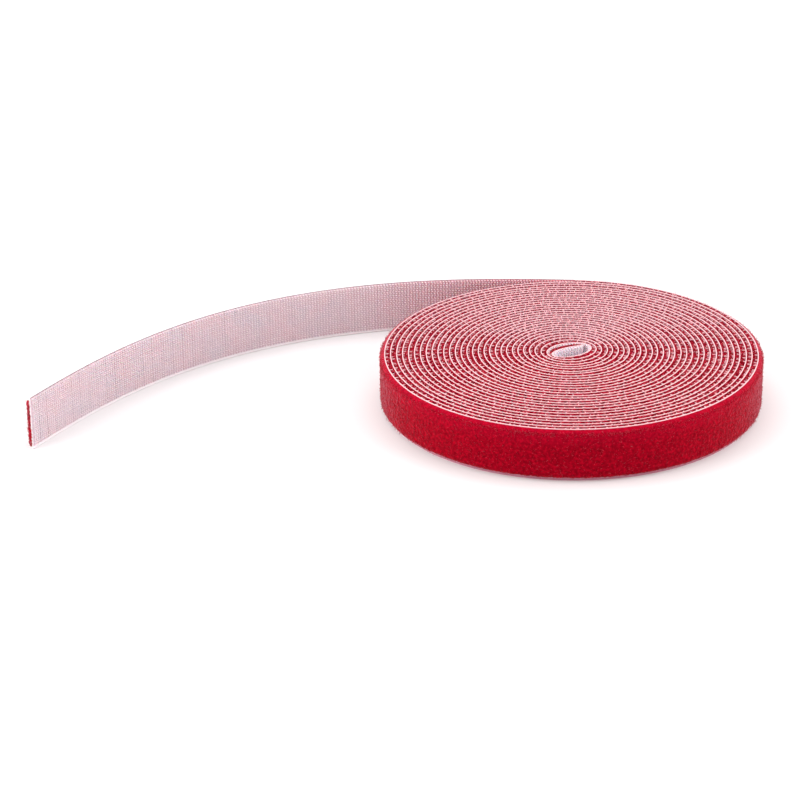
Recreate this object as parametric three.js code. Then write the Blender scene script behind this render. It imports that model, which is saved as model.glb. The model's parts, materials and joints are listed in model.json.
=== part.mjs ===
// Hook and loop tape roll, in millimetres, +Z up.
//
// The tape is one long strip of two bonded layers: a moulded film whose hooks face the roll's middle,
// and a napped fabric whose loops face out, so that each turn grips the one inside it. It is wound
// on itself with no core, and the roll lies on the tape's edge. The outer end, the tail, is peeled
// off along an upright line, where it swings away from the roll. Both layers are therefore
// two pieces here: the wound stretch and the tail.
//
// The tape is described by its hook face. A station is a place along it, seen from above: the point
// on the hook face, and the direction square to it, towards the loops.

import * as THREE from "three";
import { mergeVertices } from "three/addons/utils/BufferGeometryUtils.js";

// The tape
const tapeWidth = 19;
const hookLayerThickness = 0.9;
const loopLayerThickness = 1.1;
const bondClearance = 0.3;

// The winding, whose 23 whole loops fill the room that 30 thinner ones take on the real roll
const turnClearance = 0.3;
const eyeRadius = 6.6;
const wholeLoops = 23;
const innerEndTurn = -0.08;

// The springy inner end presses the eye flat along one line and to one side, less with each turn
const squashAngle = THREE.MathUtils.degToRad(124);
const squashShare = 0.46;
const squashFadeTurns = 1.8;
const shiftAngle = THREE.MathUtils.degToRad(146);
const shiftLength = 1.25;
const shiftFadeTurns = 0.45;

// The tail, which leaves the roll at the peel line and bends round towards the front
const peelAngle = THREE.MathUtils.degToRad(85);
const peelClearance = 0.3;
const tailLength = 234;
const tailStartBendRadius = 1090;
const tailMiddleBendRadius = 146;
const tailEndBendRadius = 690;

// Facets
const stepsPerLoop = 23;
const tailSteps = 24;
const cornerCount = 4;
const turnNudge = 0.0001;
const gapSamplesPerStep = 4;

const fullTurn = 2 * Math.PI;
const tapeThickness = hookLayerThickness + bondClearance + loopLayerThickness;
const turnPitch = tapeThickness + turnClearance;

// Each layer lies between two distances from the hook face
const hookLayer = { near: 0, far: hookLayerThickness };
const loopLayer = { near: hookLayerThickness + bondClearance, far: tapeThickness };

const filmMaterial = new THREE.MeshStandardMaterial({ color: 0xe3b3b0, roughness: 0.45, metalness: 0 });
const pileMaterial = new THREE.MeshStandardMaterial({ color: 0xa3172b, roughness: 0.95, metalness: 0 });

function directionAt(angle) {
  return new THREE.Vector2(Math.cos(angle), Math.sin(angle));
}

// The hook face after so many turns, counted from wholeLoops turns before the peel line
function windingPoint(turn) {
  const angle = peelAngle + fullTurn * (turn - wholeLoops);
  const point = directionAt(angle).multiplyScalar(eyeRadius + turnPitch * turn);
  const across = directionAt(squashAngle);
  const squash = squashShare * Math.exp(-turn / squashFadeTurns) * point.dot(across);
  const shift = shiftLength * Math.exp(-turn / shiftFadeTurns);
  return point.addScaledVector(across, -squash).addScaledVector(directionAt(shiftAngle), -shift);
}

// The winding runs anticlockwise, so its outside is on the right of its heading
function station(point, heading) {
  return { point, outward: new THREE.Vector2(Math.sin(heading), -Math.cos(heading)) };
}

function windingHeading(turn) {
  const ahead = windingPoint(turn + turnNudge).sub(windingPoint(turn - turnNudge));
  return ahead.angle();
}

const peelPoint = windingPoint(wholeLoops);
const peelHeading = windingHeading(wholeLoops);

// The tape's direction at a share of the tail's length, its bend running smoothly through three radii
function tailHeading(share) {
  const start = 1 / tailStartBendRadius;
  const middle = 1 / tailMiddleBendRadius;
  const end = 1 / tailEndBendRadius;
  const slope = 4 * middle - 3 * start - end;
  const curve = 2 * (start + end - 2 * middle);
  const bend = start * share + (slope * share ** 2) / 2 + (curve * share ** 3) / 3;
  return peelHeading + tailLength * bend;
}

function besidePeel(distance) {
  return peelPoint.clone().addScaledVector(directionAt(peelHeading), distance);
}

// The stations of one loop lie behind those of the next, and the last is just short of the peel line
function windingStations() {
  const turns = [];
  let turn = innerEndTurn;
  while (turn < wholeLoops - turnNudge) {
    turns.push(turn);
    turn += 1 / stepsPerLoop;
  }
  const stations = turns.map((each) => station(windingPoint(each), windingHeading(each)));
  stations.push(station(besidePeel(-peelClearance / 2), peelHeading));
  return stations;
}

function tailStations() {
  const step = (tailLength - peelClearance / 2) / tailSteps;
  const stations = [];
  const point = besidePeel(peelClearance / 2);
  for (let i = 0; i <= tailSteps; i += 1) {
    stations.push(station(point.clone(), tailHeading(i / tailSteps)));
    const heading = tailHeading((i + 0.5) / tailSteps);
    point.addScaledVector(directionAt(heading), step);
  }
  return stations;
}

function facePoint(place, distance) {
  return place.point.clone().addScaledVector(place.outward, distance);
}

// One unbroken strip of oblong section along the stations, as wide as the tape, closed at both ends
function layerGeometry(stations, layer) {
  const positions = [];
  for (const place of stations) {
    const near = facePoint(place, layer.near);
    const far = facePoint(place, layer.far);
    positions.push(near.x, near.y, 0);
    positions.push(far.x, far.y, 0);
    positions.push(far.x, far.y, tapeWidth);
    positions.push(near.x, near.y, tapeWidth);
  }
  const faces = [];
  for (let i = 0; i + 1 < stations.length; i += 1) {
    for (let k = 0; k < cornerCount; k += 1) {
      const here = i * cornerCount + k;
      const beside = i * cornerCount + ((k + 1) % cornerCount);
      faces.push(here, here + cornerCount, beside + cornerCount);
      faces.push(here, beside + cornerCount, beside);
    }
  }
  const last = (stations.length - 1) * cornerCount;
  faces.push(0, 1, 2, 0, 2, 3);
  faces.push(last, last + 2, last + 1, last, last + 3, last + 2);
  const geometry = new THREE.BufferGeometry();
  geometry.setAttribute("position", new THREE.Float32BufferAttribute(positions, 3));
  geometry.setIndex(faces);
  const merged = mergeVertices(geometry);
  merged.computeVertexNormals();
  return merged;
}

// Points along one face of a layer, several to each facet, with the loops wound so far at each
function facePoints(stations, distance) {
  const points = [];
  let wound = 0;
  for (let i = 0; i + 1 < stations.length; i += 1) {
    const from = facePoint(stations[i], distance);
    const to = facePoint(stations[i + 1], distance);
    for (let k = 0; k < gapSamplesPerStep; k += 1) {
      points.push({ point: from.clone().lerp(to, k / gapSamplesPerStep), wound });
    }
    const turned = stations[i + 1].outward.angle() - stations[i].outward.angle();
    wound += THREE.MathUtils.euclideanModulo(turned + Math.PI, fullTurn) - Math.PI;
  }
  return points;
}

// The least room between a layer's loops: from its near face in to its far face half a loop earlier
function leastGapToItself(stations, layer) {
  const nearFace = facePoints(stations, layer.near);
  const farFace = facePoints(stations, layer.far);
  let least = Infinity;
  for (const outer of nearFace) {
    for (const inner of farFace) {
      if (outer.wound - inner.wound < Math.PI) break;
      least = Math.min(least, outer.point.distanceTo(inner.point));
    }
  }
  return least;
}

function layerMesh(name, stations, layer, material) {
  const mesh = new THREE.Mesh(layerGeometry(stations, layer), material);
  mesh.name = name;
  return mesh;
}

const winding = windingStations();
const tail = tailStations();

const roll = new THREE.Group();
roll.add(layerMesh("roll_hook_tape", winding, hookLayer, filmMaterial));
roll.add(layerMesh("roll_loop_tape", winding, loopLayer, pileMaterial));

const peeledTail = new THREE.Group();
peeledTail.add(layerMesh("tail_hook_tape", tail, hookLayer, filmMaterial));
peeledTail.add(layerMesh("tail_loop_tape", tail, loopLayer, pileMaterial));

// The origin lies on the table, under the middle of the whole outline
const tape = new THREE.Group();
tape.add(roll, peeledTail);
const middle = new THREE.Box3().setFromObject(tape).getCenter(new THREE.Vector3());
tape.position.set(-middle.x, -middle.y, 0);

console.log(`wound hook tape, least gap to itself: ${leastGapToItself(winding, hookLayer).toFixed(2)} mm`);
console.log(`wound loop tape, least gap to itself: ${leastGapToItself(winding, loopLayer).toFixed(2)} mm`);

export default tape;
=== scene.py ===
import json
import math

import bpy
import numpy as np
from mathutils import Matrix, Vector


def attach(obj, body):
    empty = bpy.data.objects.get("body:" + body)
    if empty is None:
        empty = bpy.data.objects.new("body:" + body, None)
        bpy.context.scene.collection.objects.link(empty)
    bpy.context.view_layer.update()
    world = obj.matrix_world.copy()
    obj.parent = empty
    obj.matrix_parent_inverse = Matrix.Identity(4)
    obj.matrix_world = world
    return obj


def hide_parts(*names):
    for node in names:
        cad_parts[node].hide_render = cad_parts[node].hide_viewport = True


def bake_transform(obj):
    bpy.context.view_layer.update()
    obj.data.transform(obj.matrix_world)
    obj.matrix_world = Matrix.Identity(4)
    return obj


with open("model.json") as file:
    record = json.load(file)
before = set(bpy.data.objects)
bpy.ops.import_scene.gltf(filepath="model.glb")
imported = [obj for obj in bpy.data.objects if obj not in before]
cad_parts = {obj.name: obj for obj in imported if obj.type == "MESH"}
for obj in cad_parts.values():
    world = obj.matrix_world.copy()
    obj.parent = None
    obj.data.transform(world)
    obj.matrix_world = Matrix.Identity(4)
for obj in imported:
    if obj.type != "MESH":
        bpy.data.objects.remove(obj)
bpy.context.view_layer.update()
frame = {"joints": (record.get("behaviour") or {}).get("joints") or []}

bl_info = {
    "name": "Hook and loop tape roll",
    "version": (1, 0, 0),
    "blender": (4, 5, 0),
    "location": "3D View > Sidebar > Tape Roll",
    "description": "Dresses the packed frame of a roll of hook and loop tape lying on its edge",
    "category": "Object",
}

# The tape is modelled flat and then wound. On the flat tape x runs along it from its inner end,
# y is the distance from the hook face outwards, and z runs across it from the table up.

MM = 0.001
PEEL_ANGLE = math.radians(85)
PEEL_LINE = Vector(frame["joints"][0]["pos_m"])

# The path is followed by this many stations on the roll, and by one every step on the tail
WOUND_STATIONS = 24000
TAIL_STEP = 0.3 * MM
# The inner turns whose hook face shows in the eye
EYE_TURNS = 1.3
# The fine grids along the tape have a row of points after each such length
FILM_STEP = 0.9 * MM
PRESSED_STEP = 0.45 * MM
FREE_STEP = 0.55 * MM
# How quickly the spacing of the turns varies, in radians per turn
SPACING_WAVES = (2.3, 3.9)
# The tape's edges wave a little: metres per radian of two waves, the second's lead, and the share
# of the width by which each moves them
LONG_WAVE = 0.047
SHORT_WAVE = 0.031
WAVE_LEAD = 1.3
WAVE_SHARE = 0.002


def length_property(name, description, default):
    return bpy.props.FloatProperty(name=name, description=description, default=default, unit="LENGTH")


def colour_property(name, description, default):
    return bpy.props.FloatVectorProperty(
        name=name, description=description, default=default, subtype="COLOR", size=3)


class TapeSizes(bpy.types.PropertyGroup):
    """The two bonded layers of the tape."""

    width: length_property("Width", "Width of the tape", 19 * MM)
    film: length_property("Film", "Thickness of the hook film", 0.34 * MM)
    pile_wound: length_property("Pressed pile", "Fabric and pile between two turns", 1.5 * MM)
    slack: length_property(
        "Slack", "Room left between the pressed pile and the next turn", 0.08 * MM)
    pile_free: length_property("Free pile", "Fabric and pile on the roll's outside", 1.5 * MM)
    pile_tail: length_property("Tail pile", "Fabric and pile on the tail", 0.95 * MM)
    pile_inset: length_property(
        "Pile inset", "How far the pile stays below the tape's upper edge", 0.3 * MM)
    margin: length_property("Bare margin", "Smooth film along the tape's lower edge", 0.95 * MM)
    tail_inset: length_property(
        "Tail pile inset", "How far the tail's pile stays below the upper edge", 0.55 * MM)
    pile_foot: length_property(
        "Pile foot", "Height above the table at which the free pile begins", 1.35 * MM)
    # Painted highlight: this stretch below the wound film's upper edge takes the pale edge colour
    rim: length_property("Rim", "Paler stretch of the wound film along its upper edge", 0.2 * MM)
    selvedge: length_property(
        "Selvedge", "How far the bare lower edge of the film is raised", 0.55 * MM)


class WindingSizes(bpy.types.PropertyGroup):
    """The winding, seen from above."""

    turns: bpy.props.IntProperty(
        name="Turns", description="Whole turns from the eye to the peel line", default=30)
    outer_radius: length_property(
        "Outer radius", "From the middle to the pile's outside at the peel line", 68.7 * MM)
    face_radius: length_property(
        "Hook face radius", "From the middle to the hook face at the peel line", 66.688 * MM)
    pitch: length_property("Pitch", "Distance from turn to turn at the outside", 2.126 * MM)
    tightening: length_property(
        "Tightening", "How much the pitch shrinks with each turn inwards", 0.00327 * MM)
    looseness: length_property("Looseness", "How far the turns lie from even spacing", 0.05 * MM)
    inner_end: bpy.props.FloatProperty(
        name="Inner end", description="Turn at which the tape's inner end lies", default=-0.045)
    squash_angle: bpy.props.FloatProperty(
        name="Squash direction", description="Direction in which the eye is pressed flat",
        default=math.radians(123.4), subtype="ANGLE")
    squash_share: bpy.props.FloatProperty(
        name="Squash", description="Share of its radius that the eye loses", default=0.672)
    squash_turns: bpy.props.FloatProperty(
        name="Squash fade", description="Turns over which the squash dies away", default=1.062)
    shift_angle: bpy.props.FloatProperty(
        name="Shift direction", description="Direction from which the eye is pushed aside",
        default=math.radians(100.9), subtype="ANGLE")
    shift: length_property("Shift", "How far the eye is pushed aside", 2.618 * MM)
    shift_turns: bpy.props.FloatProperty(
        name="Shift fade", description="Turns over which the shift dies away", default=3.26)
    spring: length_property("Spring", "How far the inner end springs outwards", 1.524 * MM)
    spring_turns: bpy.props.FloatProperty(
        name="Spring fade", description="Turns over which the spring dies away", default=0.806)
    curl: length_property(
        "End curl", "How far the very end of the tape leans on the next turn", 0.8 * MM)
    curl_turns: bpy.props.FloatProperty(
        name="End curl fade", description="Turns over which the end curl dies away", default=0.06)
    drift: length_property("Drift", "How far the inner turns lie towards the back", 2.56 * MM)
    drift_turns: bpy.props.FloatProperty(
        name="Drift fade", description="Turns over which the drift dies away", default=12.4)
    oval: bpy.props.FloatProperty(
        name="Oval", description="Share by which the roll is longer from front to back",
        default=0.0045)


class TailSizes(bpy.types.PropertyGroup):
    """The peeled end of the tape."""

    length: length_property("Length", "Length of the tail", 235.2 * MM)
    start_bend: length_property("Start bend", "Bend radius at the roll", 0.85)
    middle_bend: length_property("Middle bend", "Bend radius half way", 0.1465)
    end_bend: length_property("End bend", "Bend radius at the end", 1.57)
    # Painted red bounce light: how far along the tail the roll's painted red bounce light and shade
    # reach
    red_bounce_reach: length_property(
        "Red reach", "Stretch beside the roll that still has the roll's redder look", 80 * MM)
    hinge_zone: length_property(
        "Hinge zone", "Stretch beside the roll that bends as the tail swings", 24 * MM)


class HookSizes(bpy.types.PropertyGroup):
    """The moulded hooks and ribs on the film."""

    spacing: length_property(
        "Spacing", "Distance between the rows of hooks that run across the tape", 1.12 * MM)
    row_pitch: length_property("Row pitch", "Distance between the hooks of one row", 0.78 * MM)
    stem: length_property("Stem", "Height of a hook's straight stem", 0.35 * MM)
    stem_radius: length_property("Stem radius", "Radius of a hook's stem", 0.2 * MM)
    curl_radius: length_property("Curl radius", "Radius of a hook's bend", 0.22 * MM)
    rib_spacing: length_property("Rib spacing", "Distance between the cross ribs", 4.75 * MM)
    loose_spacing: length_property(
        "Loose spacing", "Distance between the hooks seen between the turns", 1.15 * MM)
    wound_rib_spacing: length_property(
        "Wound rib spacing", "Distance between the ribs seen between the turns", 3.4 * MM)
    wound_rib_width: length_property(
        "Wound rib width", "Width of a rib between the turns", 0.38 * MM)
    rib_width: length_property("Rib width", "Width of a cross rib", 0.3 * MM)
    rib_height: length_property("Rib height", "Height of a cross rib", 0.2 * MM)
    wound_rib_height: length_property(
        "Wound rib height", "How far a rib reaches through the pile below it", 1.3 * MM)


class TapeColours(bpy.types.PropertyGroup):
    """The finishes of the two layers, with painted light and shade in some of the colours."""

    film: colour_property("Film", "Colour of the hook face", (0.70, 0.59, 0.65))
    film_blush: colour_property(
        "Film blush", "Colour of the hook face where the pile shows through", (0.78, 0.56, 0.61))
    # Painted shade and red bounce light: the wound film and the tail beside the roll are coloured
    # darker and redder for the roll's shade and the red light that the pile throws back
    film_wound_shade_and_bounce: colour_property(
        "Wound film", "Colour of the hook face in the roll", (0.52, 0.17, 0.25))
    film_near_roll_bounce: colour_property(
        "Film near the roll", "Colour of the tail's hook face beside the roll", (0.82, 0.29, 0.37))
    # Painted highlight: the tail's bare margin along its foot and its cut end are painted near white
    # for the light that they catch
    film_margin_highlight: colour_property("Film margin", "Colour of the bare margin", (1.0, 0.92, 0.94))
    # Painted light: the hook face inside the eye is coloured paler to make up for the shade deep in the
    # eye
    film_eye_painted_light: colour_property(
        "Film in the eye", "Colour of the hook face inside the eye", (1.0, 0.84, 0.93))
    # Partly painted highlight: the film's own paler cut edge, coloured paler still where it faces up to
    # the light
    film_edge_and_highlight: colour_property("Film edge", "Colour of the film's cut edge", (1.0, 0.61, 0.64))
    # Painted shade: the tail's upper edge is painted dark for the shaded edge of the pile behind it
    tail_edge_shade: colour_property(
        "Tail edge", "Colour of the tail's upper edge, where the pile is bonded",
        (0.12, 0.03, 0.045))
    hooks: colour_property("Hooks", "Colour of the hooks on the open hook face", (1.0, 0.86, 0.89))
    # Painted shade and red bounce light between the turns
    wound_hooks_shade_and_bounce: colour_property(
        "Wound hooks", "Colour of the hooks and ribs between the turns", (0.84, 0.42, 0.46))
    pile: colour_property("Pile", "Colour of the loop pile", (0.33, 0.0, 0.010))
    pile_tip: colour_property("Pile tips", "Colour of the raised fibres", (0.54, 0.002, 0.018))
    # Painted light: the pile is painted brighter towards its upper edge for the light from above
    pile_lit_top: colour_property(
        "Brushed pile", "Colour of the pile brushed up along the upper edge", (0.74, 0.003, 0.045))
    # Painted shade: the pile between the turns is painted darker for the shade in the gaps
    pile_pressed_shade: colour_property(
        "Pressed pile", "Colour of the pile between the turns", (0.30, 0.0, 0.011))
    pressed_tip: colour_property(
        "Pressed tips", "Colour of the fibres between the turns", (0.58, 0.045, 0.075))


def deselect():
    if bpy.context.object and bpy.context.object.mode != "OBJECT":
        bpy.ops.object.mode_set(mode="OBJECT")
    bpy.ops.object.select_all(action="DESELECT")


def activate(piece):
    deselect()
    piece.select_set(True)
    bpy.context.view_layer.objects.active = piece


def settle(piece):
    """The piece's place goes into its mesh."""
    activate(piece)
    bpy.ops.object.transform_apply(location=True, rotation=True, scale=True)


def finish_modifier(piece, kind, **settings):
    activate(piece)
    modifier = piece.modifiers.new(kind.title(), kind)
    for key, value in settings.items():
        setattr(modifier, key, value)
    bpy.ops.object.modifier_apply(modifier=modifier.name)


def points_of(piece):
    points = np.empty(3 * len(piece.data.vertices), np.float32)
    piece.data.vertices.foreach_get("co", points)
    return points.reshape(-1, 3)


def set_points(piece, points):
    piece.data.vertices.foreach_set("co", np.asarray(points, np.float32).ravel())
    piece.data.update()


# The path of the hook face

def direction(angle):
    return np.stack([np.cos(angle), np.sin(angle)], -1)


def winding_points(turns):
    """The hook face, seen from above, so many turns from the eye, round the roll's middle."""
    sizes = bpy.context.scene.winding_sizes
    left = sizes.turns - turns
    angle = PEEL_ANGLE - 2 * math.pi * left
    radius = sizes.face_radius - sizes.pitch * left + sizes.tightening * left ** 2
    radius = radius + sizes.spring * np.exp(-turns / sizes.spring_turns)
    radius = radius + sizes.curl * np.exp(-(turns - sizes.inner_end) / sizes.curl_turns)
    uneven = sum(np.sin(wave * turns) for wave in SPACING_WAVES)
    radius = radius + sizes.looseness * uneven * np.clip(left, 0, 1)
    points = radius[:, None] * direction(angle)
    across = direction(sizes.squash_angle)
    squash = sizes.squash_share * np.exp(-turns / sizes.squash_turns) * (points @ across)
    shift = sizes.shift * np.exp(-turns / sizes.shift_turns)
    points = points - squash[:, None] * across - shift[:, None] * direction(sizes.shift_angle)
    drift = sizes.drift * np.exp(-np.maximum(turns, 0) / sizes.drift_turns) * left / sizes.turns
    back = sizes.face_radius * math.sin(PEEL_ANGLE)
    points[:, 1] = back + (points[:, 1] + drift - back) * (1 + sizes.oval)
    return points


def roll_middle():
    radius = bpy.context.scene.winding_sizes.outer_radius
    return PEEL_LINE.xy - Vector(radius * direction(PEEL_ANGLE))


def tail_points(start, heading, step):
    """The hook face of the tail, its bend running smoothly through three radii."""
    sizes = bpy.context.scene.tail_sizes
    share = np.linspace(0, 1, int(sizes.length / step) + 1)
    first, middle, last = 1 / sizes.start_bend, 1 / sizes.middle_bend, 1 / sizes.end_bend
    slope = 4 * middle - 3 * first - last
    curve = 2 * (first + last - 2 * middle)
    bend = first * share + slope * share ** 2 / 2 + curve * share ** 3 / 3
    headings = heading + sizes.length * bend
    halfway = (headings[1:] + headings[:-1]) / 2
    steps = direction(halfway) * sizes.length * np.diff(share)[:, None]
    return start + np.cumsum(steps, 0)


class TapePath:
    """The whole tape's route, with the length wound up to the peel line and in all."""

    def __init__(self):
        winding = bpy.context.scene.winding_sizes
        turns = np.linspace(winding.inner_end, winding.turns, WOUND_STATIONS)
        wound = winding_points(turns)
        last = wound[-1] - wound[-2]
        tail = tail_points(wound[-1], math.atan2(last[1], last[0]), TAIL_STEP)
        self.points = np.concatenate([wound, tail]) + np.array(roll_middle())
        lengths = np.hypot(*np.diff(self.points, axis=0).T)
        self.along = np.concatenate([[0], np.cumsum(lengths)])
        self.peel = self.along[len(wound) - 1]
        self.last_turn = self.at_turn(turns, winding.turns - 1)
        self.eye = self.at_turn(turns, EYE_TURNS)
        self.end = self.along[-1]
        self.measure_room(turns)

    def measure_room(self, turns):
        """From the hook face to that of the next turn, at every eighth station along the roll."""
        per_turn = int(1 / (turns[1] - turns[0]))
        nearest = int(0.6 * per_turn)
        farthest = int(1.4 * per_turn)
        self.stations = np.arange(0, len(turns) - farthest, 8)
        room = []
        for station in self.stations:
            others = self.points[station + nearest:station + farthest:3]
            room.append(np.hypot(*(others - self.points[station]).T).min())
        self.room = np.array(room)

    def room_at(self, along):
        return np.interp(along, self.along[self.stations], self.room)

    def at_turn(self, turns, turn):
        return float(np.interp(turn, turns, self.along[: len(turns)]))

    def points_at(self, along):
        return np.stack([np.interp(along, self.along, axis) for axis in self.points.T], 1)

    def place(self, flat):
        """Flat tape coordinates to places in the frame, the edges a little wavy."""
        along = flat[:, 0]
        nudge = 0.05 * MM
        points = self.points_at(along)
        heading = self.points_at(along + nudge) - self.points_at(along - nudge)
        heading /= np.maximum(np.hypot(*heading.T), 1e-9)[:, None]
        outward = np.stack([heading[:, 1], -heading[:, 0]], 1)
        beyond = along - np.clip(along, 0, self.end)
        places = points + heading * beyond[:, None] + outward * flat[:, 1:2]
        wave = np.sin(along / LONG_WAVE) + np.sin(along / SHORT_WAVE + WAVE_LEAD)
        heights = flat[:, 2] * (1 + WAVE_SHARE * wave)
        return np.concatenate([places, heights[:, None]], 1)


path = None


def tape_path():
    global path
    if path is None:
        path = TapePath()
    return path


def wind(piece):
    """Keeps each point's place on the flat tape for the finish, in mm, and winds the piece."""
    flat = points_of(piece)
    place = piece.data.attributes.new("tape_place", "FLOAT_VECTOR", "POINT")
    place.data.foreach_set("vector", (flat * 1000).astype(np.float32).ravel())
    set_points(piece, tape_path().place(flat.astype(float)))


# The flat pieces

def flat_strip(name, along, across, height, step, rows=1, upright=True):
    """A solid strip with a fine grid on its upright faces, or else on its upper and lower ones."""
    start, end = along
    near, far = across
    low, high = height
    if upright:
        centre = ((start + end) / 2, near, (low + high) / 2)
        size = (end - start, high - low, 1)
        thickness = far - near
    else:
        centre = ((start + end) / 2, (near + far) / 2, high)
        size = (end - start, far - near, 1)
        thickness = high - low
    deselect()
    bpy.ops.mesh.primitive_grid_add(
        x_subdivisions=int((end - start) / step), y_subdivisions=rows, size=1, location=centre,
        rotation=(math.pi / 2 if upright else 0, 0, 0))
    piece = bpy.context.object
    piece.name = name
    piece.scale = size
    settle(piece)
    finish_modifier(piece, "SOLIDIFY", thickness=thickness, offset=-1.0)
    return piece


def bevel_edges(piece, width):
    finish_modifier(
        piece, "BEVEL", width=width, segments=1, limit_method="ANGLE",
        angle_limit=math.radians(60))


def roughen(piece, size, depth, direction="NORMAL"):
    cloud = bpy.data.textures.new(piece.name + "_cloud", "CLOUDS")
    cloud.noise_scale = size
    cloud.noise_depth = 1
    finish_modifier(
        piece, "DISPLACE", texture=cloud, strength=depth, mid_level=0.5,
        direction=direction, texture_coords="LOCAL")
    bpy.data.textures.remove(cloud)


def array(piece, count, offset):
    finish_modifier(
        piece, "ARRAY", count=count, use_relative_offset=False, use_constant_offset=True,
        constant_offset_displace=offset)


def bend_over(steps, degrees, centre, axis):
    """Sweeps the selected end round the centre, turns all faces outwards and leaves edit mode."""
    bpy.ops.mesh.spin(steps=steps, angle=math.radians(degrees), center=centre, axis=axis)
    bpy.ops.mesh.select_all(action="SELECT")
    bpy.ops.mesh.normals_make_consistent(inside=False)
    bpy.ops.object.mode_set(mode="OBJECT")


def model_hook(name):
    """One hook on the hook face: a stem, then a bend over towards the tape's end."""
    sizes = bpy.context.scene.hook_sizes
    deselect()
    bpy.ops.mesh.primitive_circle_add(
        vertices=3, radius=sizes.stem_radius, fill_type="NGON", rotation=(math.pi / 2, 0, 0))
    hook = bpy.context.object
    hook.name = name
    settle(hook)
    bpy.ops.object.mode_set(mode="EDIT")
    bpy.ops.mesh.select_all(action="SELECT")
    bpy.ops.mesh.extrude_region_move(TRANSFORM_OT_translate={"value": (0, -sizes.stem, 0)})
    bend_over(2, 150, (sizes.curl_radius, -sizes.stem, 0), (0, 0, -1))
    return hook


def lean_back(hook, height):
    """A second hook above the first, half a space on, bent over the other way."""
    sizes = bpy.context.scene.hook_sizes
    second = hook.data.copy()
    other = bpy.data.objects.new(hook.name + "_other", second)
    bpy.context.scene.collection.objects.link(other)
    second.transform(Matrix.Diagonal((-1, 1, 1, 1)))
    second.flip_normals()
    second.transform(Matrix.Translation((sizes.spacing / 2, 0, height)))
    activate(hook)
    other.select_set(True)
    bpy.ops.object.join()


def hook_rows(name, start, end, low, high):
    """Hooks on the hook face from start to end, in rows from low to high."""
    sizes = bpy.context.scene.hook_sizes
    hook = model_hook(name)
    pairs = round((high - low) / (2 * sizes.row_pitch))
    height = (high - low) / (2 * pairs)
    lean_back(hook, height)
    array(hook, pairs, (0, 0, 2 * height))
    array(hook, int((end - start) / sizes.spacing), (sizes.spacing, 0, 0))
    hook.data.transform(Matrix.Translation((start + sizes.spacing / 2, 0, low + height / 2)))
    roughen(hook, size=0.7 * MM, depth=0.12 * MM, direction="RGB_TO_XYZ")
    wind(hook)
    return hook


def loose_hooks(name, seed, start, end, low, high):
    """Hooks at uneven places and heights, as they show between the turns from above."""
    sizes = bpy.context.scene.hook_sizes
    rng = np.random.default_rng(seed)
    hook = model_hook("hook")
    count = int((end - start) / sizes.loose_spacing)
    places = np.zeros((count, 3))
    places[:, 0] = start + sizes.loose_spacing * (np.arange(count) + rng.random(count))
    places[:, 2] = rng.uniform(low, high, count)
    way = rng.choice([-1.0, 1.0], count)
    turns = np.tile(np.eye(3), (count, 1, 1))
    turns[:, 0, 0] = way
    turns[:, 2, 2] = way
    return scatter(hook, name, places, turns, rng.uniform(0.8, 1.4, count))


def rib_row(name, seed, start, end, size, spacing, least):
    """Cross ribs over almost the whole width of the hook face, down to a least share of the height."""
    width, height = size
    tape = bpy.context.scene.tape_sizes
    margin = 0.1 * MM
    deselect()
    bpy.ops.mesh.primitive_cube_add(size=1)
    rib = bpy.context.object
    rib.scale = (width, height, tape.width - 2 * margin)
    rib.location = (0, -height / 2, tape.width / 2)
    settle(rib)
    bevel_edges(rib, 0.07 * MM)
    count = int((end - start) / spacing)
    rng = np.random.default_rng(seed)
    places = np.zeros((count, 3))
    uneven = (1 - least) / 2
    places[:, 0] = start + spacing * (np.arange(count) + 0.5)
    places[:, 0] += rng.uniform(-uneven, uneven, count) * spacing
    stretch = np.tile(np.eye(3), (count, 1, 1))
    stretch[:, 1, 1] = rng.uniform(least, 1, count)
    return scatter(rib, name, places, stretch, np.ones(count))


def model_fibre():
    """One raised loop of the pile, standing on its root."""
    loop_radius = 0.26 * MM
    deselect()
    bpy.ops.mesh.primitive_circle_add(vertices=3, radius=0.035 * MM, fill_type="NGON")
    fibre = bpy.context.object
    fibre.name = "fibre"
    bpy.ops.object.mode_set(mode="EDIT")
    bpy.ops.mesh.select_all(action="SELECT")
    bend_over(3, 160, (loop_radius, 0, 0), (0, -1, 0))
    return fibre


def scatter(unit, name, places, turns, sizes):
    """Copies of the unit in one wound piece, each at its own place, turn and size; the unit goes."""
    points = points_of(unit).astype(float)
    many = np.einsum("nij,vj->nvi", turns * sizes[:, None, None], points) + places[:, None, :]
    corners = np.concatenate([list(face.vertices) for face in unit.data.polygons])
    counts = np.array([len(face.vertices) for face in unit.data.polygons])
    copies = len(places)
    mesh = bpy.data.meshes.new(name)
    mesh.vertices.add(copies * len(points))
    mesh.vertices.foreach_set("co", many.astype(np.float32).ravel())
    steps = (np.arange(copies) * len(points))[:, None]
    mesh.loops.add(copies * len(corners))
    mesh.loops.foreach_set("vertex_index", (corners[None, :] + steps).ravel().astype(np.int32))
    starts = np.concatenate([[0], np.cumsum(np.tile(counts, copies))[:-1]])
    mesh.polygons.add(copies * len(counts))
    mesh.polygons.foreach_set("loop_start", starts.astype(np.int32))
    mesh.update(calc_edges=True)
    mesh.validate()
    piece = bpy.data.objects.new(name, mesh)
    bpy.context.scene.collection.objects.link(piece)
    bpy.data.objects.remove(unit, do_unlink=True)
    wind(piece)
    return piece


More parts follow.
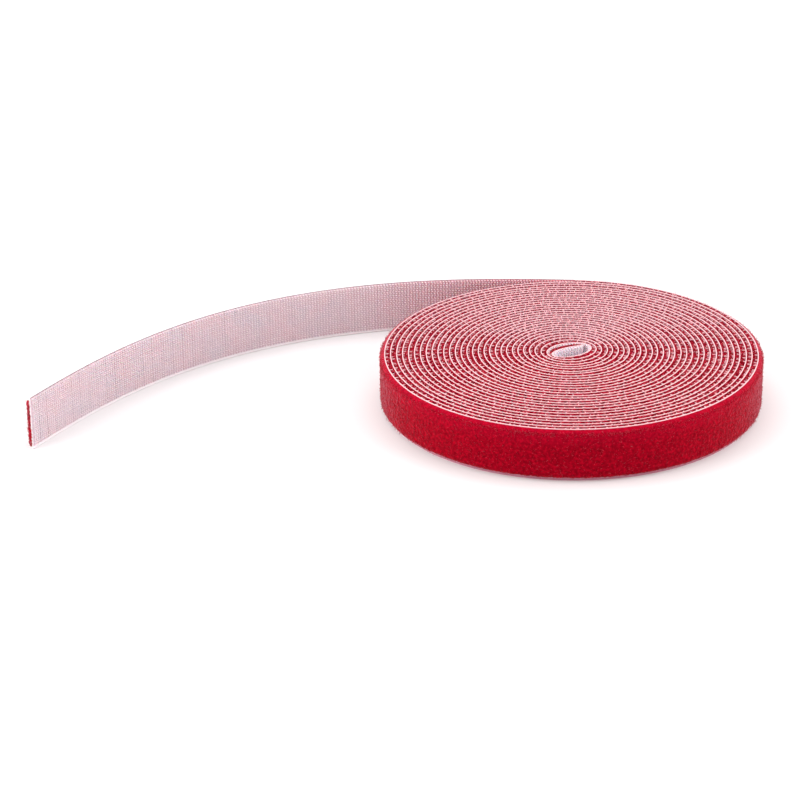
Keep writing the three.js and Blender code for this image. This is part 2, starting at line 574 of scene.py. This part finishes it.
def random_turns(rng, count, facing, lean):
    """Turns that stand a unit up along the direction it faces, each with its own twist and lean."""
    up = np.array(facing, float) + lean * rng.normal(size=(count, 3))
    up /= np.linalg.norm(up, axis=1)[:, None]
    side = np.cross(up, rng.normal(size=(count, 3)))
    side /= np.linalg.norm(side, axis=1)[:, None]
    return np.stack([side, np.cross(up, side), up], 2)


def fibres_on(name, seed, count, low, high, facing, lean, size):
    """Loose fibres strewn over a box of the flat tape, between two corners."""
    rng = np.random.default_rng(seed)
    fibre = model_fibre()
    places = rng.uniform(low, high, (count, 3))
    turns = random_turns(rng, count, facing, lean)
    return scatter(fibre, name, places, turns, rng.uniform(size[0], size[1], count))


# The finishes, whose patterns read each point's place on the flat tape in millimetres

# The bare stretch at the tail's cut end, which gets the margin's painted highlight, and the band below
# the pile's upper edge that is painted lighter as light from above
CUT_END = 0.4 * MM
LIT_TOP_BAND = 7 * MM
# A face of the film counts as its edge where its normal's upright share is above this; such faces are
# painted pale in the roll, partly as painted highlight, and dark on the tail as painted shade
EDGE_STEEPNESS = 0.6


def new_material(name, shader_settings):
    material = bpy.data.materials.new(name)
    material.use_nodes = True
    shader = material.node_tree.nodes["Principled BSDF"]
    for socket, value in shader_settings.items():
        shader.inputs[socket].default_value = value
    return material, material.node_tree, shader


def link(tree, source, target):
    tree.links.new(source, target)


def add_node(tree, kind, **settings):
    node = tree.nodes.new(kind)
    for key, value in settings.items():
        setattr(node, key, value)
    return node


def tape_place(tree):
    return add_node(tree, "ShaderNodeAttribute", attribute_name="tape_place").outputs["Vector"]


def noise(tree, place, scale, detail=2.0):
    node = add_node(tree, "ShaderNodeTexNoise")
    node.inputs["Scale"].default_value = scale
    node.inputs["Detail"].default_value = detail
    link(tree, place, node.inputs["Vector"])
    return node.outputs["Fac"]


def ramp(tree, factor, stops):
    node = add_node(tree, "ShaderNodeValToRGB")
    while len(node.color_ramp.elements) < len(stops):
        node.color_ramp.elements.new(0.5)
    for element, (position, colour) in zip(node.color_ramp.elements, stops):
        element.position = position
        element.color = (*colour, 1)
    link(tree, factor, node.inputs["Fac"])
    return node.outputs["Color"]


def mix(tree, factor, first, second):
    node = add_node(tree, "ShaderNodeMix", data_type="RGBA")
    for socket, value in ((node.inputs[0], factor), (node.inputs[6], first), (node.inputs[7], second)):
        if isinstance(value, bpy.types.NodeSocket):
            link(tree, value, socket)
        elif hasattr(value, "__len__"):
            socket.default_value = (*value, 1)
        else:
            socket.default_value = value
    return node.outputs[2]


def maths(tree, operation, first, second=0.0):
    node = add_node(tree, "ShaderNodeMath", operation=operation)
    for socket, value in zip(node.inputs, (first, second)):
        if isinstance(value, bpy.types.NodeSocket):
            link(tree, value, socket)
        else:
            socket.default_value = value
    return node.outputs[0]


def parts_of(tree, vector):
    node = add_node(tree, "ShaderNodeSeparateXYZ")
    link(tree, vector, node.inputs[0])
    return node.outputs


def map_range(tree, value, start, end, first, last):
    """From first to last as the value runs from start to end, and level beyond them."""
    node = add_node(tree, "ShaderNodeMapRange")
    for socket, number in zip(("From Min", "From Max", "To Min", "To Max"), (start, end, first, last)):
        node.inputs[socket].default_value = number
    link(tree, value, node.inputs["Value"])
    return node.outputs["Result"]


def bump(tree, shader, height, strength, distance):
    node = add_node(tree, "ShaderNodeBump")
    node.inputs["Strength"].default_value = strength
    node.inputs["Distance"].default_value = distance
    link(tree, height, node.inputs["Height"])
    link(tree, node.outputs["Normal"], shader.inputs["Normal"])


def shade(colour, amount):
    return tuple(min(1.0, channel * amount) for channel in colour)


def red_bounce_share(tree, along, most):
    """Share of painted red bounce light and shade from the roll: the most in the roll and at the peel
    line, then less and less along the tail, to none.
    """
    peel = tape_path().peel
    reach = bpy.context.scene.tail_sizes.red_bounce_reach
    return map_range(tree, along, peel / MM, (peel + reach) / MM, most, 0.0)


def film_material():
    """Milky moulded film, with painted light and shade: painted red bounce light and shade in the roll
    and beside it, pale upright edges in the roll that are partly painted highlight, painted shade along
    the tail's upper edge, a painted highlight on the tail's bare margin and cut end, and painted light
    inside the eye.
    """
    colours = bpy.context.scene.tape_colours
    tape = bpy.context.scene.tape_sizes
    route = tape_path()
    material, tree, shader = new_material("hook film", {
        "Roughness": 0.42, "Subsurface Weight": 0.3, "Subsurface Scale": 0.4 * MM,
        "Specular IOR Level": 0.35})
    shader.inputs["Subsurface Radius"].default_value = (1.0, 0.6, 0.65)
    place = tape_place(tree)
    along = parts_of(tree, place)["X"]
    height = parts_of(tree, place)["Z"]
    on_tail = maths(tree, "GREATER_THAN", along, route.peel / MM)
    in_roll = maths(tree, "SUBTRACT", 1.0, on_tail)

    cloudy = noise(tree, place, scale=0.1, detail=3.0)
    face = ramp(tree, cloudy, [(0.32, tuple(colours.film)), (0.68, tuple(colours.film_blush))])
    # Painted shade and red bounce light in the roll and beside it
    red = mix(tree, on_tail, colours.film_wound_shade_and_bounce, colours.film_near_roll_bounce)
    face = mix(tree, red_bounce_share(tree, along, most=0.85), face, red)
    # Painted light inside the eye
    eye_light_mask = maths(tree, "LESS_THAN", along, route.eye / MM)
    face = mix(tree, eye_light_mask, face, colours.film_eye_painted_light)

    # Painted highlight and shade by the way a face points: upright faces and the wound film's top rim
    # are painted pale in the roll and dark on the tail
    normal = add_node(tree, "ShaderNodeNewGeometry").outputs["Normal"]
    steepness = maths(tree, "ABSOLUTE", parts_of(tree, normal)["Z"])
    edge = maths(tree, "GREATER_THAN", steepness, EDGE_STEEPNESS)
    rim = maths(tree, "GREATER_THAN", height, (tape.width - tape.rim) / MM)
    edge = maths(tree, "MAXIMUM", edge, maths(tree, "MULTIPLY", rim, in_roll))
    face = mix(tree, edge, face, mix(tree, on_tail, colours.film_edge_and_highlight, colours.tail_edge_shade))

    # Painted highlight on the tail's bare margin and cut end
    margin = maths(tree, "LESS_THAN", height, tape.margin / MM)
    margin = maths(tree, "MULTIPLY", margin, on_tail)
    cut_end = maths(tree, "GREATER_THAN", along, (route.end - CUT_END) / MM)
    bare = maths(tree, "MAXIMUM", margin, cut_end)
    link(tree, mix(tree, bare, face, colours.film_margin_highlight), shader.inputs["Base Color"])
    bump(tree, shader, noise(tree, place, scale=3.0), strength=0.25, distance=0.05 * MM)
    return material


def hook_material(name, colour):
    """Moulded hooks and ribs, a little clearer and paler than the film, and redder beside the roll,
    where the red is painted red bounce light and shade.
    """
    material, tree, shader = new_material(name, {
        "Roughness": 0.35, "Subsurface Weight": 0.2, "Subsurface Scale": 0.2 * MM,
        "Specular IOR Level": 0.5})
    place = tape_place(tree)
    cloudy = noise(tree, place, scale=0.8, detail=3.0)
    paint = ramp(tree, cloudy, [(0.3, shade(colour, 0.85)), (0.7, tuple(colour))])
    along = parts_of(tree, place)["X"]
    on_tail = maths(tree, "GREATER_THAN", along, tape_path().peel / MM)
    red = maths(tree, "MULTIPLY", red_bounce_share(tree, along, most=0.75), on_tail)
    # Painted shade and red bounce light on the hooks beside the roll
    wound = bpy.context.scene.tape_colours.wound_hooks_shade_and_bounce
    link(tree, mix(tree, red, paint, wound), shader.inputs["Base Color"])
    return material


def pile_material(name, body, tips, clump_scale, hollow_shade, sheen, lit):
    """Napped loop pile: clumps of deep and brighter red, painted shade in the hollows of its bump, and
    painted light from above along the upper edge.
    """
    colours = bpy.context.scene.tape_colours
    width = bpy.context.scene.tape_sizes.width
    material, tree, shader = new_material(name, {
        "Roughness": 0.9, "Specular IOR Level": 0.02, "Sheen Weight": sheen,
        "Sheen Roughness": 0.3})
    shader.inputs["Sheen Tint"].default_value = (1.0, 0.44, 0.53, 1)
    place = tape_place(tree)
    clumps = noise(tree, place, scale=clump_scale, detail=3.0)
    broad = noise(tree, place, scale=0.12)
    # Painted shade in the hollows: the darkest stop falls where the bump is lowest
    fine = ramp(tree, clumps, [(0.34, shade(body, hollow_shade)), (0.5, body), (0.66, tips)])
    patch = mix(tree, broad, shade(body, 0.8), body)
    felt = mix(tree, 0.3, fine, patch)
    height = parts_of(tree, place)["Z"]
    # Painted light from above, growing towards the upper edge
    share = map_range(tree, height, (width - LIT_TOP_BAND) / MM, width / MM, 0.0, lit)
    link(tree, mix(tree, share, felt, colours.pile_lit_top), shader.inputs["Base Color"])
    bump(tree, shader, clumps, strength=0.9, distance=0.4 * MM)
    return material


def new_finish(kind):
    colours = bpy.context.scene.tape_colours
    if kind == "film":
        return film_material()
    if kind == "hooks":
        return hook_material("moulded hooks", colours.hooks)
    if kind == "wound hooks":
        return hook_material("hooks between the turns", colours.wound_hooks_shade_and_bounce)
    if kind == "pile":
        return pile_material(
            "loop pile", colours.pile, colours.pile_tip,
            clump_scale=1.0, hollow_shade=0.6, sheen=1.0, lit=0.25)
    # Painted shade between the turns: a darker body and nearly black hollows
    if kind == "pressed":
        return pile_material(
            "pressed pile", colours.pile_pressed_shade, colours.pressed_tip,
            clump_scale=1.3, hollow_shade=0.08, sheen=0.1, lit=0.0)
    return pile_material(
        "raised fibres", colours.pile_tip, shade(colours.pile_tip, 1.2),
        clump_scale=1.1, hollow_shade=0.8, sheen=0.7, lit=0.25)


finishes = {}


def finish(piece, kind):
    """Gives a piece its finish."""
    if kind not in finishes:
        finishes[kind] = new_finish(kind)
    piece.data.materials.clear()
    piece.data.materials.append(finishes[kind])


def ride_roll(piece, kind):
    finish(piece, kind)
    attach(piece, "roll")


def ride_tail(piece, kind):
    """Gives a tail piece its finish and bakes its place into its mesh."""
    finish(piece, kind)
    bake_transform(piece)


def smooth(piece, angle=40):
    activate(piece)
    bpy.ops.object.shade_smooth_by_angle(angle=math.radians(angle))


def model_film(name, start, end):
    tape = bpy.context.scene.tape_sizes
    piece = flat_strip(name, (start, end), (0, tape.film), (0, tape.width), FILM_STEP)
    bevel_edges(piece, 0.06 * MM)
    wind(piece)
    smooth(piece)
    return piece


def model_selvedge(name, start, end):
    """The raised bare edge along the foot of the hook face, rooted in the film."""
    tape = bpy.context.scene.tape_sizes
    root = 0.3 * MM
    foot = 0.02 * MM
    piece = flat_strip(
        name, (start, end), (-tape.selvedge, root), (foot, 0.9 * tape.margin), FILM_STEP)
    bevel_edges(piece, 0.34 * MM)
    wind(piece)
    smooth(piece)
    return piece


class TAPE_OT_film(bpy.types.Operator):
    """Models the hook film of the roll and of the tail"""

    bl_idname = "tape.film"
    bl_label = "Hook film"

    def execute(self, context):
        route = tape_path()
        piece = model_film("roll_film", 0, route.peel)
        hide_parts("roll_hook_tape")
        ride_roll(piece, "film")
        piece = model_film("tail_film", route.peel, route.end)
        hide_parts("tail_hook_tape")
        ride_tail(piece, "film")
        ride_tail(model_selvedge("tail_selvedge", route.peel, route.end), "film")
        return {"FINISHED"}


# Depths below the tape's upper edge: the hooks seen between the turns, and the bare rim above the
# rows of hooks in the eye and on the tail
LOOSE_HOOKS = (1.0 * MM, 0.3 * MM)
BARE_RIM = 0.05 * MM


class TAPE_OT_hooks(bpy.types.Operator):
    """Moulds the hooks and cross ribs on the hook face"""

    bl_idname = "tape.hooks"
    bl_label = "Hooks and ribs"

    def execute(self, context):
        tape = context.scene.tape_sizes
        sizes = context.scene.hook_sizes
        route = tape_path()
        size = (sizes.rib_width, sizes.rib_height)
        spacing = sizes.rib_spacing
        ride_roll(rib_row("eye_ribs", 31, 0, route.eye, size, spacing, 0.9), "film")
        ride_tail(rib_row("tail_ribs", 33, route.peel, route.end, size, spacing, 0.9), "film")
        size = (sizes.wound_rib_width, sizes.wound_rib_height)
        spacing = sizes.wound_rib_spacing
        piece = rib_row("roll_ribs", 32, route.eye, route.peel, size, spacing, 0.4)
        ride_roll(piece, "wound hooks")
        low, high = (tape.width - depth for depth in LOOSE_HOOKS)
        piece = loose_hooks("roll_hooks", 34, route.eye, route.peel, low, high)
        ride_roll(piece, "wound hooks")
        low = tape.margin
        high = tape.width - BARE_RIM
        ride_roll(hook_rows("eye_hooks", 0, route.eye, low, high), "hooks")
        ride_tail(hook_rows("tail_hooks", route.peel, route.end, low, high), "hooks")
        return {"FINISHED"}


def fill_room(piece):
    """The pressed pile swells or thins to the room that the next turn leaves it."""
    tape = bpy.context.scene.tape_sizes
    thinnest = 0.3
    thickest = 1.7
    points = points_of(piece)
    room = tape_path().room_at(points[:, 0]) - tape.film - tape.slack
    share = np.clip(room / tape.pile_wound, thinnest, thickest)
    points[:, 1] = tape.film + (points[:, 1] - tape.film) * share
    set_points(piece, points)


def slope_top(piece, middle):
    """The pressed pile stands highest on its own film, and lies lower towards the next turn's hooks."""
    tape = bpy.context.scene.tape_sizes
    rise = 0.1 * MM
    slope = 0.3 * MM
    points = points_of(piece)
    upper = points[:, 2] > middle
    share = (points[:, 1] - tape.film) / tape.pile_wound
    points[upper, 2] += (rise - slope * share)[upper]
    set_points(piece, points)


def nap_outside(piece, start, end, foot, top, thickness):
    """Makes the free face uneven, rounds it off towards the edges and keeps the bonded face flat."""
    tape = bpy.context.scene.tape_sizes
    nap = 0.06 * MM
    rounding = 0.3 * thickness
    rounded_edge = 0.4 * MM
    swollen_start = 12 * MM
    sloping_edge = 1.5 * MM
    top_slope = 0.4
    bonded = points_of(piece)[:, 1] < tape.film + thickness / 2
    free = ~bonded
    roughen(piece, size=1.1 * MM, depth=0.3 * MM)
    points = points_of(piece)
    points[bonded, 1] = tape.film
    rng = np.random.default_rng(11)
    points[free, 1] += rng.normal(0, nap, int(free.sum()))
    from_edge = np.minimum(points[:, 2] - foot, top - points[:, 2])
    rounded = rounding * np.exp(-np.maximum(from_edge, 0) / rounded_edge)
    points[free, 1] -= rounded[free]
    # At the peel line the tail's pile is as thick as that of the roll's outside
    swell = (tape.pile_free - thickness) * np.exp(-(points[:, 0] - start) / swollen_start)
    points[free, 1] += swell[free]
    from_top = np.clip(1 - (top - points[:, 2]) / sloping_edge, 0, 1)
    points[:, 2] -= top_slope * (points[:, 1] - tape.film) * from_top
    points[:, 0] = np.clip(points[:, 0], start, end)
    set_points(piece, points)


def model_pressed_pile(name, start, end):
    """Fabric and pile between the turns, with a fine grid on the upper face."""
    tape = bpy.context.scene.tape_sizes
    low = tape.margin
    high = tape.width - tape.pile_inset
    piece = flat_strip(
        name, (start, end), (tape.film, tape.film + tape.pile_wound), (low, high), PRESSED_STEP,
        rows=4, upright=False)
    roughen(piece, size=0.5 * MM, depth=0.42 * MM, direction="Z")
    slope_top(piece, (low + high) / 2)
    fill_room(piece)
    wind(piece)
    smooth(piece, 80)
    return piece


def model_free_pile(name, start, end, foot, top, thickness):
    """Fabric and pile with nothing against it, with a fine grid on the upright faces."""
    film = bpy.context.scene.tape_sizes.film
    piece = flat_strip(
        name, (start, end), (film, film + thickness), (foot, top), FREE_STEP, rows=30)
    nap_outside(piece, start, end, foot, top, thickness)
    wind(piece)
    smooth(piece, 80)
    return piece


class TAPE_OT_pile(bpy.types.Operator):
    """Models the napped pile pressed between the turns, on the outside and on the tail"""

    bl_idname = "tape.pile"
    bl_label = "Loop pile"

    def execute(self, context):
        tape = context.scene.tape_sizes
        route = tape_path()
        stretches = 3
        for stretch in range(stretches):
            start = stretch * route.last_turn / stretches
            end = (stretch + 1) * route.last_turn / stretches
            piece = model_pressed_pile(f"roll_pile_{stretch + 1}", start, end)
            if stretch == 0:
                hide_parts("roll_loop_tape")
            ride_roll(piece, "pressed")
        top = tape.width - tape.pile_inset
        piece = model_free_pile(
            "outer_pile", route.last_turn, route.peel, tape.pile_foot, top, tape.pile_free)
        ride_roll(piece, "pile")
        top = tape.width - tape.tail_inset
        piece = model_free_pile("tail_pile", route.peel, route.end, tape.margin, top, tape.pile_tail)
        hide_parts("tail_loop_tape")
        ride_tail(piece, "pile")
        return {"FINISHED"}


# How deep in the pile the fibres that stand out from it are rooted
DEEPEST_ROOT = 0.25 * MM
SHALLOWEST_ROOT = 0.1 * MM


class TAPE_OT_fibres(bpy.types.Operator):
    """Raises the fine loops of the pile that give it its soft outline"""

    bl_idname = "tape.fibres"
    bl_label = "Raised fibres"

    def execute(self, context):
        tape = context.scene.tape_sizes
        route = tape_path()
        foot = tape.pile_foot
        rim = tape.width - 2.2 * MM
        brim = tape.width - 1.0 * MM
        back = tape.pile_free
        halfway = (route.last_turn + route.peel) / 2
        # Name, seed, stretch of the tape, count, heights, thickness of the pile and range of sizes
        spans = (
            ("outer_fibres_1", 21, (route.last_turn, halfway), 8200, (foot, brim), back, (0.6, 1.5)),
            ("outer_fibres_2", 22, (halfway, route.peel), 8200, (foot, brim), back, (0.6, 1.5)),
            ("rim_fibres", 25, (route.last_turn, route.peel), 4000, (rim, brim), back, (0.8, 1.7)),
            ("tail_fibres", 23, (route.peel, route.end), 8200, (foot, rim), tape.pile_tail, (0.6, 1.3)),
        )
        for name, seed, (start, end), count, (bottom, upper), thickness, size in spans:
            surface = tape.film + thickness
            low = (start, surface - DEEPEST_ROOT, bottom)
            high = (end, surface - SHALLOWEST_ROOT, upper)
            piece = fibres_on(name, seed, count, low, high, (0, 1, 0), 0.6, size)
            if name == "tail_fibres":
                ride_tail(piece, "fibres")
            else:
                ride_roll(piece, "fibres")
        low = (route.end - 0.3 * MM, tape.film + 0.15 * MM, foot)
        high = (route.end, tape.film + tape.pile_tail, tape.width - 1.2 * MM)
        piece = fibres_on("end_fibres", 26, 420, low, high, (1, 0.5, 0), 0.5, (1.0, 2.4))
        ride_tail(piece, "fibres")
        top = tape.width - tape.pile_inset
        low = (0, tape.film + 0.1 * MM, top - 0.15 * MM)
        high = (route.last_turn, tape.film + tape.pile_wound, top + 0.05 * MM)
        piece = fibres_on("roll_fibres", 24, 7000, low, high, (0, 0, 1), 0.6, (0.5, 1.1))
        ride_roll(piece, "pressed")
        piece = fibres_on("torn_fibres", 27, 4500, low, high, (0, 0, 1), 0.8, (0.7, 1.5))
        ride_roll(piece, "wound hooks")
        return {"FINISHED"}


# The floor's own glow and the light of the room, which is stronger where it is seen
FLOOR_GLOW = 0.155
ROOM_LIGHT = 0.5
SEEN_LIGHT = 0.5

# Each lamp's name, place, side and power, all of them aimed at one point
LAMPS = (
    ("overhead", (0.05, 0.3, 0.9), 0.9, 4.6),
    ("front", (-0.35, -1.2, 0.35), 0.7, 0.8),
    ("left", (-1.0, -0.18, 0.4), 1.1, 13.0),
    ("right", (1.0, -0.15, 0.4), 1.1, 10.0),
)
LAMP_TARGET = Vector((0.03, 0, 0))

# The camera's place from the roll's middle, and how far it looks down and leans to the side
CAMERA_PLACE = (-60.12 * MM, -974.05 * MM, 438.41 * MM)
CAMERA_PITCH = 0.4223
CAMERA_LEAN = 0.015


class TAPE_OT_stage(bpy.types.Operator):
    """Sets the white floor, the soft lights and the camera"""

    bl_idname = "tape.stage"
    bl_label = "Stage"

    def execute(self, context):
        set_floor()
        set_lights()
        set_camera()
        context.scene.view_settings.view_transform = "Standard"
        return {"FINISHED"}


def seen_share(tree):
    """1 for a ray from the camera, one mirrored or one let through, and 0 for any other."""
    rays = add_node(tree, "ShaderNodeLightPath").outputs
    seen = maths(tree, "ADD", rays["Is Camera Ray"], rays["Is Glossy Ray"])
    seen = maths(tree, "ADD", seen, rays["Is Transmission Ray"])
    return maths(tree, "MINIMUM", seen, 1.0)


def set_floor():
    deselect()
    bpy.ops.mesh.primitive_plane_add(size=6, location=(0, 0, -0.05 * MM))
    floor = bpy.context.object
    floor.name = "floor"
    material = bpy.data.materials.new("white floor")
    material.use_nodes = True
    tree = material.node_tree
    tree.nodes.clear()
    output = add_node(tree, "ShaderNodeOutputMaterial")
    paint = add_node(tree, "ShaderNodeBsdfDiffuse")
    paint.inputs["Color"].default_value = (0.80, 0.79, 0.79, 1)
    glow = add_node(tree, "ShaderNodeEmission")
    glow.inputs["Color"].default_value = (1.0, 0.93, 0.94, 1)
    link(tree, maths(tree, "MULTIPLY", seen_share(tree), FLOOR_GLOW), glow.inputs["Strength"])
    both = add_node(tree, "ShaderNodeAddShader")
    link(tree, paint.outputs[0], both.inputs[0])
    link(tree, glow.outputs[0], both.inputs[1])
    link(tree, both.outputs[0], output.inputs["Surface"])
    floor.data.materials.append(material)


def set_lights():
    scene = bpy.context.scene
    scene.world = bpy.data.worlds.new("studio")
    scene.world.use_nodes = True
    tree = scene.world.node_tree
    background = tree.nodes["Background"]
    background.inputs["Color"].default_value = (1, 1, 1, 1)
    extra = maths(tree, "MULTIPLY", seen_share(tree), SEEN_LIGHT)
    link(tree, maths(tree, "ADD", extra, ROOM_LIGHT), background.inputs["Strength"])
    for name, place, side, power in LAMPS:
        data = bpy.data.lights.new(name, "AREA")
        data.size = side
        data.energy = power
        lamp = bpy.data.objects.new(name, data)
        scene.collection.objects.link(lamp)
        lamp.location = place
        aim = LAMP_TARGET - Vector(place)
        lamp.rotation_euler = aim.to_track_quat("-Z", "Y").to_euler()


def set_camera():
    right = Vector((1, 0, 0))
    up = Vector((0, math.sin(CAMERA_PITCH), math.cos(CAMERA_PITCH)))
    back = Vector((0, -math.cos(CAMERA_PITCH), math.sin(CAMERA_PITCH)))
    leaning = up * math.cos(CAMERA_LEAN) + right * math.sin(CAMERA_LEAN)
    level = right * math.cos(CAMERA_LEAN) - up * math.sin(CAMERA_LEAN)
    data = bpy.data.cameras.new("camera")
    data.lens = 135
    data.sensor_width = 36
    data.clip_start = 0.01
    camera = bpy.data.objects.new("camera", data)
    bpy.context.scene.collection.objects.link(camera)
    turned = Matrix((level, leaning, back)).transposed()
    place = roll_middle().to_3d() + Vector(CAMERA_PLACE)
    camera.matrix_world = Matrix.Translation(place) @ turned.to_4x4()
    bpy.context.scene.camera = camera


class TAPE_PT_panel(bpy.types.Panel):
    """Lists the sizes, the colours and the pieces"""

    bl_idname = "TAPE_PT_panel"
    bl_label = "Tape roll"
    bl_space_type = "VIEW_3D"
    bl_region_type = "UI"
    bl_category = "Tape Roll"

    def draw(self, context):
        layout = self.layout
        for group in (name for name, _ in GROUPS):
            sizes = getattr(context.scene, group)
            box = layout.box()
            for key in sizes.bl_rna.properties.keys():
                if key not in ("rna_type", "name"):
                    box.prop(sizes, key)
        for operator in OPERATORS:
            layout.operator(operator.bl_idname)


GROUPS = (
    ("tape_sizes", TapeSizes),
    ("winding_sizes", WindingSizes),
    ("tail_sizes", TailSizes),
    ("hook_sizes", HookSizes),
    ("tape_colours", TapeColours),
)
OPERATORS = (TAPE_OT_film, TAPE_OT_hooks, TAPE_OT_pile, TAPE_OT_fibres, TAPE_OT_stage)


def register():
    for name, group in GROUPS:
        bpy.utils.register_class(group)
        setattr(bpy.types.Scene, name, bpy.props.PointerProperty(type=group))
    for operator in OPERATORS:
        bpy.utils.register_class(operator)
    bpy.utils.register_class(TAPE_PT_panel)


def unregister():
    bpy.utils.unregister_class(TAPE_PT_panel)
    for operator in reversed(OPERATORS):
        bpy.utils.unregister_class(operator)
    for name, group in reversed(GROUPS):
        delattr(bpy.types.Scene, name)
        bpy.utils.unregister_class(group)


def main():
    register()
    bpy.ops.tape.film()
    bpy.ops.tape.hooks()
    bpy.ops.tape.pile()
    bpy.ops.tape.fibres()
    bpy.ops.tape.stage()


if __name__ == "__main__":
    main()
